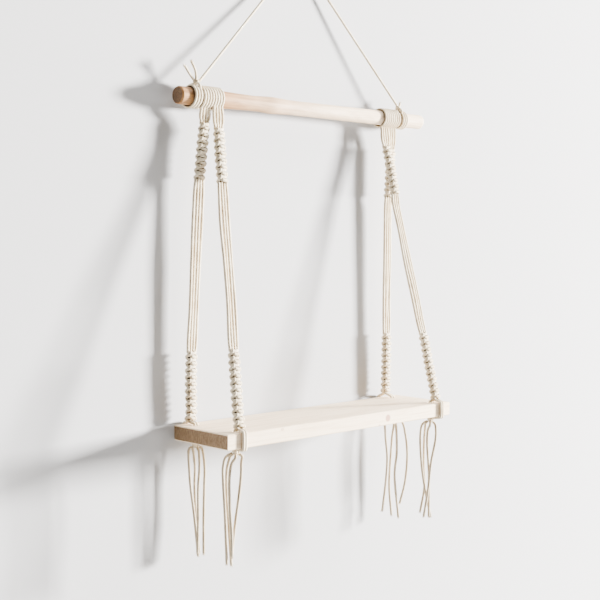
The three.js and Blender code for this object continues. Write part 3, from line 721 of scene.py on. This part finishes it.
DOWEL_LEFT = -0.2345
DOWEL_RIGHT = 0.253
DOWEL_SHARES = [0, 0.15, 0.2, 0.28, 0.34, 0.4, 0.52, 0.78, 1]
DOWEL_RADII = [0.012, 0.012, 0.0113, 0.0106, 0.0123, 0.0106, 0.0106, 0.0111, 0.0111]
BEVEL_WIDTH = 0.0014
BEVEL_DEPTH = 0.0012
LONG_BUMPS = 0.00009
SHORT_BUMPS = 0.00005
BUMP_ROOM = 0.0003


def dowel_radii(share):
    """The source's radii at shares of the dowel's length, smoothed by a sliding raised cosine."""
    fine_share, half_window = np.linspace(0, 1, 2000), 60
    fine = np.interp(fine_share, DOWEL_SHARES, DOWEL_RADII)
    window = np.hanning(2 * half_window + 1)
    fine = np.convolve(np.pad(fine, half_window, mode="edge"), window / window.sum(), mode="valid")
    return np.interp(share, fine_share, fine)


def add_dowel(wood):
    """A branch with a bevelled saw cut at each end: rings R(x) + bumps(x, a) round a straight axis along X.

    The bumps are LONG_BUMPS sin(3a + 40x) sin(2a + 95x) + SHORT_BUMPS sin(5a - 210x), x in metres, and the
    rings are smaller by BUMP_ROOM to leave room for them.
    """
    share = np.linspace(0, 1, 300)
    x = DOWEL_LEFT + share * (DOWEL_RIGHT - DOWEL_LEFT)
    angle = (2 * math.pi * np.arange(48) / 48)[None, :]
    far = x[:, None]
    bumps = LONG_BUMPS * np.sin(3 * angle + 40 * far) * np.sin(95 * far + 2 * angle)
    bumps = bumps + SHORT_BUMPS * np.sin(5 * angle - 210 * far)
    bevel = 1 - np.clip(np.minimum(x - DOWEL_LEFT, DOWEL_RIGHT - x) / BEVEL_WIDTH, 0, 1)
    size = (dowel_radii(share) - BEVEL_DEPTH * bevel)[:, None] + bumps - BUMP_ROOM
    axis = np.array([-DOWEL_SETBACK, DOWEL_AXIS_Z])
    outwards = np.stack([size * np.cos(angle), size * np.sin(angle)], axis=2)
    rings = np.concatenate([np.broadcast_to(far, size.shape)[:, :, None], axis + outwards], axis=2)
    inner = rings[[0, -1]].copy()
    inner[:, :, 1:] = axis + (inner[:, :, 1:] - axis) * 0.97
    rings = np.concatenate([inner[:1], rings, inner[1:]])
    ends = [np.array([end, *axis]) for end in (DOWEL_LEFT, DOWEL_RIGHT)]
    along = np.concatenate([[0], x - DOWEL_LEFT, [DOWEL_RIGHT - DOWEL_LEFT]])
    surface = {"rings": rings, "ends": ends, "along": along, "open": np.ones(rings.shape[:2])}
    piece("branch_dowel", [surface], wood, "root", ["dowel"])


# Materials.

def new_material(name, color, roughness, specular):
    """A node material and its tree, with a Principled surface of plain values."""
    material = bpy.data.materials.new(name)
    material.use_nodes = True
    tree = material.node_tree
    surface = tree.nodes["Principled BSDF"]
    surface.inputs["Base Color"].default_value = (*color, 1)
    surface.inputs["Roughness"].default_value = roughness
    surface.inputs["Specular IOR Level"].default_value = specular
    surface.inputs["IOR"].default_value = 1.45
    return material, tree, surface


def node(tree, kind, operation=None, **values):
    """A node with its input values set by name, or by number after an underscore."""
    made = tree.nodes.new(kind)
    if operation is not None:
        made.operation = operation
    for key, value in values.items():
        socket = made.inputs[int(key[1:])] if key[0] == "_" else made.inputs[key]
        if hasattr(value, "is_output"):
            tree.links.new(value, socket)
        else:
            socket.default_value = value
    return made


def math_node(tree, operation, a, b=0.0, c=0.0):
    """The value of one sum on up to three values."""
    return node(tree, "ShaderNodeMath", operation, _0=a, _1=b, _2=c).outputs[0]


def mixed(tree, share, a, b):
    """Colour a to colour b by share."""
    mix = tree.nodes.new("ShaderNodeMix")
    mix.data_type = "RGBA"
    for socket, value in ((mix.inputs[0], share), (mix.inputs[6], a), (mix.inputs[7], b)):
        if hasattr(value, "is_output"):
            tree.links.new(value, socket)
        else:
            socket.default_value = value
    return mix.outputs[2]


def ramp(tree, value, low, high):
    """Value from low to high as 0 to 1, clamped and eased."""
    made = node(tree, "ShaderNodeMapRange", Value=value)
    made.interpolation_type = "SMOOTHSTEP"
    made.inputs["From Min"].default_value = low
    made.inputs["From Max"].default_value = high
    return made.outputs["Result"]


def cotton_material():
    """Plaited cotton cord. U runs once round the cord and V along it in diameters. Strands wind both ways,
    counted by A = 8 U + 1.8 V and B = 8 U - 1.8 V. Where sin(pi A) sin(pi B) is positive the first kind
    lies on top, and elsewhere the second. The height is |sine| of the upper strand, lower where it dives.

    The grooves between the strands get painted shade, and so does the cord as its crevice light share falls
    from 1 to 0, in sinnet crevices, between turns on the dowel and over the tassels.
    """
    pale, warm = (0.84, 0.74, 0.56, 1), (0.70, 0.59, 0.415, 1)
    # Painted shade: the groove and crevice colours on the next line darken the cord where shade falls, and
    # are not its own colour.
    painted_groove_shade, painted_crevice_shade = (0.26, 0.19, 0.11, 1), (0.085, 0.052, 0.025, 1)
    material, tree, surface = new_material("cotton_plait", (0.78, 0.68, 0.52), 0.9, 0.15)
    uv = node(tree, "ShaderNodeUVMap")
    uv.uv_map = "cord_uv"
    parts = node(tree, "ShaderNodeSeparateXYZ", Vector=uv.outputs["UV"])
    around = math_node(tree, "MULTIPLY", parts.outputs["X"], 8 * math.pi)
    along = math_node(tree, "MULTIPLY", parts.outputs["Y"], 1.8 * math.pi)
    one = math_node(tree, "SINE", math_node(tree, "ADD", around, along))
    other = math_node(tree, "SINE", math_node(tree, "SUBTRACT", around, along))
    over = math_node(tree, "GREATER_THAN", math_node(tree, "MULTIPLY", one, other), 0.0)
    one, other = math_node(tree, "ABSOLUTE", one), math_node(tree, "ABSOLUTE", other)
    first = math_node(tree, "MULTIPLY", one, math_node(tree, "MULTIPLY_ADD", other, 0.5, 0.5))
    second = math_node(tree, "MULTIPLY", other, math_node(tree, "MULTIPLY_ADD", one, 0.5, 0.5))
    under = math_node(tree, "SUBTRACT", 1.0, over)
    plait = math_node(tree, "ADD", math_node(tree, "MULTIPLY", first, over),
                      math_node(tree, "MULTIPLY", second, under))
    place = node(tree, "ShaderNodeTexCoord").outputs["Object"]
    fuzz = node(tree, "ShaderNodeTexNoise", Vector=place, Scale=2600.0, Detail=3.0).outputs["Fac"]
    relief = math_node(tree, "ADD", plait, math_node(tree, "MULTIPLY", fuzz, 0.6))
    bump = node(tree, "ShaderNodeBump", Height=relief, Strength=0.6, Distance=0.0002)
    tree.links.new(bump.outputs["Normal"], surface.inputs["Normal"])
    patches = node(tree, "ShaderNodeTexNoise", Vector=place, Scale=60.0, Detail=2.0).outputs["Fac"]
    shade = mixed(tree, ramp(tree, patches, 0.35, 0.68), pale, warm)
    # Painted shade in the plait's grooves.
    shade = mixed(tree, ramp(tree, plait, 0.0, 0.5), painted_groove_shade, shade)
    # Painted shade in crevices, by the crevice light share read here.
    crevice_light = tree.nodes.new("ShaderNodeAttribute")
    crevice_light.attribute_name = "crevice_light"
    shade = mixed(tree, crevice_light.outputs["Fac"], painted_crevice_shade, shade)
    tree.links.new(shade, surface.inputs["Base Color"])
    return material


def grain(tree, place, scale, turns, distortion):
    """Streaks of wood grain along X: noise on a point squeezed along X."""
    mapping = node(tree, "ShaderNodeMapping", Vector=place, Scale=scale)
    return node(tree, "ShaderNodeTexNoise", Vector=mapping.outputs["Vector"], Scale=turns, Detail=5.0,
                Roughness=0.6, Distortion=distortion).outputs["Fac"]


def spot(tree, parts, centre, sizes):
    """1 at a place on the board and 0 outside an ellipsoid of the given half sizes."""
    terms = []
    for axis, middle, half in zip("XYZ", centre, sizes):
        offset = math_node(tree, "SUBTRACT", parts.outputs[axis], middle)
        scaled = math_node(tree, "DIVIDE", offset, half)
        terms.append(math_node(tree, "MULTIPLY", scaled, scaled))
    total = math_node(tree, "ADD", math_node(tree, "ADD", terms[0], terms[1]), terms[2])
    distance = math_node(tree, "SQRT", total)
    return math_node(tree, "SUBTRACT", 1.0, ramp(tree, distance, 0.55, 1.0))


def end_faces(tree):
    """1 on the faces that look along X and 0 elsewhere."""
    geometry = node(tree, "ShaderNodeNewGeometry")
    facing = node(tree, "ShaderNodeSeparateXYZ", Vector=geometry.outputs["True Normal"])
    return ramp(tree, math_node(tree, "ABSOLUTE", facing.outputs["X"]), 0.75, 0.95)


def pine_material():
    """Pale planed pine: streaks along X, a painted shadow of the front right leg that crosses the top
    towards the right, the three photographed knots, and sawn end grain on the faces that look along X, its
    own darker tone deepened with painted shade.

    The painted shadow runs along Y = -0.2885 X - 0.0371. The end's rings lie 4.2 mm apart round Y -0.075, Z
    -0.70.
    """
    pale, dark = (0.82, 0.665, 0.48, 1), (0.68, 0.505, 0.32, 1)
    # The middle colour on the next line paints the front right leg's shadow across the top.
    band, painted_leg_shadow, knot_shade = (0.68, 0.52, 0.34, 1), (0.50, 0.33, 0.20, 1), (0.36, 0.19, 0.12, 1)
    # The end colours on the next line are end grain, its own darker tone deepened with painted shade.
    end_pale_with_shade, end_dark_with_shade = (0.26, 0.168, 0.09, 1), (0.15, 0.092, 0.046, 1)
    end_ring, end_pore = (0.15, 0.088, 0.045, 1), (0.56, 0.41, 0.26, 1)
    material, tree, surface = new_material("planed_pine", (0.83, 0.74, 0.60), 0.66, 0.25)
    place = node(tree, "ShaderNodeTexCoord").outputs["Object"]
    parts = node(tree, "ShaderNodeSeparateXYZ", Vector=place)
    streaks = grain(tree, place, (3.0, 60.0, 90.0), 4.0, 0.6)
    wide = grain(tree, place, (1.2, 22.0, 30.0), 3.0, 0.8)
    shade = mixed(tree, ramp(tree, streaks, 0.40, 0.72), pale, dark)
    shade = mixed(tree, math_node(tree, "MULTIPLY", ramp(tree, wide, 0.5, 0.8), 0.5), shade, band)
    # Painted shadow of the front right leg's foot: a thin dark line across the top, fading out towards the
    # left.
    line = math_node(tree, "MULTIPLY_ADD", parts.outputs["X"], 0.2885, 0.0371)
    off_leg_shadow = math_node(tree, "ABSOLUTE", math_node(tree, "ADD", line, parts.outputs["Y"]))
    in_leg_shadow = math_node(tree, "SUBTRACT", 1.0, ramp(tree, off_leg_shadow, 0.0003, 0.0014))
    strength = math_node(tree, "MULTIPLY", ramp(tree, parts.outputs["X"], 0.03, 0.08), 0.6)
    shade = mixed(tree, math_node(tree, "MULTIPLY", in_leg_shadow, strength), shade, painted_leg_shadow)
    for centre, sizes, strength in (
        ((0.0819, -0.108, -0.6579), (0.0066, 0.006, 0.0066), 0.95),
        ((-0.1296, -0.108, -0.6511), (0.004, 0.003, 0.0028), 0.5),
        ((0.0636, -0.108, -0.6668), (0.003, 0.002, 0.0022), 0.5),
    ):
        knot = math_node(tree, "MULTIPLY", spot(tree, parts, centre, sizes), strength)
        shade = mixed(tree, knot, shade, knot_shade)
    end_face = end_faces(tree)
    saw = grain(tree, place, (4.0, 190.0, 40.0), 4.0, 0.3)
    pores = grain(tree, place, (120.0, 120.0, 120.0), 6.0, 0.1)
    across = math_node(tree, "ADD", parts.outputs["Y"], 0.075)
    deep = math_node(tree, "ADD", parts.outputs["Z"], 0.70)
    squares = math_node(tree, "ADD", math_node(tree, "MULTIPLY", across, across),
                        math_node(tree, "MULTIPLY", deep, deep))
    radius = math_node(tree, "SQRT", squares)
    bent = math_node(tree, "MULTIPLY_ADD", streaks, 0.004, radius)
    rings = math_node(tree, "SINE", math_node(tree, "MULTIPLY", bent, 2 * math.pi / 0.0042))
    rings = ramp(tree, rings, -0.2, 1.0)
    # End grain: its own darker tone deepened with painted shade.
    end_shade = mixed(tree, ramp(tree, saw, 0.35, 0.68), end_pale_with_shade, end_dark_with_shade)
    end_shade = mixed(tree, math_node(tree, "MULTIPLY", rings, 0.2), end_shade, end_ring)
    speckle = math_node(tree, "MULTIPLY", ramp(tree, pores, 0.56, 0.72), 0.5)
    end_shade = mixed(tree, speckle, end_shade, end_pore)
    tree.links.new(mixed(tree, end_face, shade, end_shade), surface.inputs["Base Color"])
    flat = math_node(tree, "MULTIPLY", streaks, 0.35)
    rough = math_node(tree, "ADD", math_node(tree, "MULTIPLY", saw, 1.6), pores)
    height = math_node(tree, "ADD", math_node(tree, "MULTIPLY", rough, end_face), flat)
    bump = node(tree, "ShaderNodeBump", Height=height, Strength=0.45, Distance=0.0004)
    tree.links.new(bump.outputs["Normal"], surface.inputs["Normal"])
    return material


def branch_material():
    """A peeled branch: streaks along X, tan at the left end and paler to the right, partly the wood's own
    tone and partly painted shade, with drying cracks near the left end, and dark end grain deepened with
    painted shade."""
    # The tan colours on the next line hold painted shade as well as the branch's own tone.
    tan_pale_with_shade, tan_dark_with_shade = (0.36, 0.185, 0.07, 1), (0.22, 0.105, 0.036, 1)
    pale, pale_dark = (0.80, 0.64, 0.465, 1), (0.62, 0.455, 0.295, 1)
    stain_shade, crack_shade = (0.40, 0.27, 0.165, 1), (0.16, 0.09, 0.05, 1)
    # The end colours on the next line are end grain, its own darker tone deepened with painted shade.
    end_pale_with_shade, end_dark_with_shade = (0.21, 0.125, 0.068, 1), (0.055, 0.032, 0.017, 1)
    material, tree, surface = new_material("peeled_branch", (0.72, 0.56, 0.38), 0.6, 0.2)
    place = node(tree, "ShaderNodeTexCoord").outputs["Object"]
    parts = node(tree, "ShaderNodeSeparateXYZ", Vector=place)
    streaks = grain(tree, place, (2.0, 55.0, 55.0), 5.0, 0.5)
    patches = grain(tree, place, (12.0, 30.0, 30.0), 2.0, 0.4)
    left = mixed(tree, ramp(tree, streaks, 0.38, 0.68), tan_pale_with_shade, tan_dark_with_shade)
    right = mixed(tree, ramp(tree, streaks, 0.38, 0.70), pale, pale_dark)
    # Tan at the left end, paler to the right: partly the branch's tone, partly painted shade.
    shade = mixed(tree, ramp(tree, parts.outputs["X"], -0.20, 0.10), left, right)
    stain = math_node(tree, "MULTIPLY", ramp(tree, patches, 0.55, 0.8), 0.35)
    shade = mixed(tree, stain, shade, stain_shade)
    crack_line = math_node(tree, "ABSOLUTE", math_node(tree, "SUBTRACT", streaks, 0.515))
    crack = math_node(tree, "SUBTRACT", 1.0, ramp(tree, crack_line, 0.003, 0.012))
    near_end = math_node(tree, "SUBTRACT", 1.0, ramp(tree, parts.outputs["X"], -0.214, -0.196))
    crack = math_node(tree, "MULTIPLY", math_node(tree, "MULTIPLY", crack, near_end), 0.7)
    shade = mixed(tree, crack, shade, crack_shade)
    pores = grain(tree, place, (150.0, 150.0, 150.0), 8.0, 0.1)
    # End grain: its own darker tone deepened with painted shade.
    end_shade = mixed(tree, ramp(tree, pores, 0.36, 0.64), end_pale_with_shade, end_dark_with_shade)
    tree.links.new(mixed(tree, end_faces(tree), shade, end_shade), surface.inputs["Base Color"])
    height = math_node(tree, "SUBTRACT", streaks, crack)
    bump = node(tree, "ShaderNodeBump", Height=height, Strength=0.35, Distance=0.0005)
    tree.links.new(bump.outputs["Normal"], surface.inputs["Normal"])
    return material


# Stage and light.

def add_plane(name, corners, material):
    """One flat face of the stage."""
    mesh = bpy.data.meshes.new(name)
    mesh.from_pydata(corners, [], [(0, 1, 2, 3)])
    mesh.materials.append(material)
    made = bpy.data.objects.new(name, mesh)
    bpy.context.scene.collection.objects.link(made)


def wall_material():
    """Plain pale plaster that shows from its front only, so that the shelf can be seen from behind."""
    material, tree, surface = new_material("pale_wall", (0.44, 0.44, 0.45), 0.9, 0.1)
    geometry = node(tree, "ShaderNodeNewGeometry")
    clear = tree.nodes.new("ShaderNodeBsdfTransparent")
    mix = tree.nodes.new("ShaderNodeMixShader")
    tree.links.new(geometry.outputs["Backfacing"], mix.inputs[0])
    tree.links.new(surface.outputs[0], mix.inputs[1])
    tree.links.new(clear.outputs[0], mix.inputs[2])
    tree.links.new(mix.outputs[0], tree.nodes["Material Output"].inputs["Surface"])
    return material


def add_light(name, place, target, size, power, color):
    """An area light of the given width and height that looks from place to target."""
    data = bpy.data.lights.new(name, "AREA")
    data.shape = "RECTANGLE"
    data.size, data.size_y = size
    data.energy = power
    data.color = color
    light = bpy.data.objects.new(name, data)
    light.location = place
    ahead = np.array(target, float) - place
    side = np.cross(ahead, (0, 0, 1.0))
    side /= np.linalg.norm(side)
    ahead /= np.linalg.norm(ahead)
    turn = Matrix([[side[k], np.cross(side, ahead)[k], -ahead[k]] for k in range(3)]).to_4x4()
    light.matrix_world = Matrix.Translation(place) @ turn
    bpy.context.scene.collection.objects.link(light)


def add_stage():
    """A pale wall just behind the shelf, a pale floor well below it, and the light.

    A strong key light far to the right grazes the wall, a weak one fills in from above, the sky is faint.
    """
    wall_y, floor_z, reach = 0.005, -1.5, 3.0
    add_plane("wall", [(-reach, wall_y, floor_z), (reach, wall_y, floor_z), (reach, wall_y, reach),
                       (-reach, wall_y, reach)], wall_material())
    floor = new_material("pale_floor", (0.50, 0.49, 0.47), 0.8, 0.2)[0]
    add_plane("floor", [(-reach, -reach, floor_z), (reach, -reach, floor_z), (reach, reach, floor_z),
                        (-reach, reach, floor_z)], floor)
    world = bpy.data.worlds.new("soft_sky")
    world.use_nodes = True
    sky = world.node_tree.nodes["Background"]
    sky.inputs["Color"].default_value = (1.0, 0.99, 0.97, 1)
    sky.inputs["Strength"].default_value = 0.05
    bpy.context.scene.world = world
    middle = (0.0, -0.05, -0.42)
    add_light("key", (6.6, -2.75, 0.1), middle, (0.9, 1.1), 9600, (1.0, 0.975, 0.94))
    add_light("overhead", (1.6, -0.9, 1.9), middle, (1.2, 1.2), 150, (1.0, 0.99, 0.98))


add_camera()
cotton = cotton_material()
add_hanging_cord(cotton)
for leg_name, leg in LEGS.items():
    add_tassels(leg_name, leg, cotton)
for leg_name, leg in LEGS.items():
    add_leg(leg_name, leg, cotton)
    add_foot_knot(leg_name, leg, cotton)
add_wrap(-1, "left", cotton)
add_wrap(1, "right", cotton)
add_dowel(branch_material())
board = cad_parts["board"]
board.data.materials.clear()
board.data.materials.append(pine_material())
add_stage()
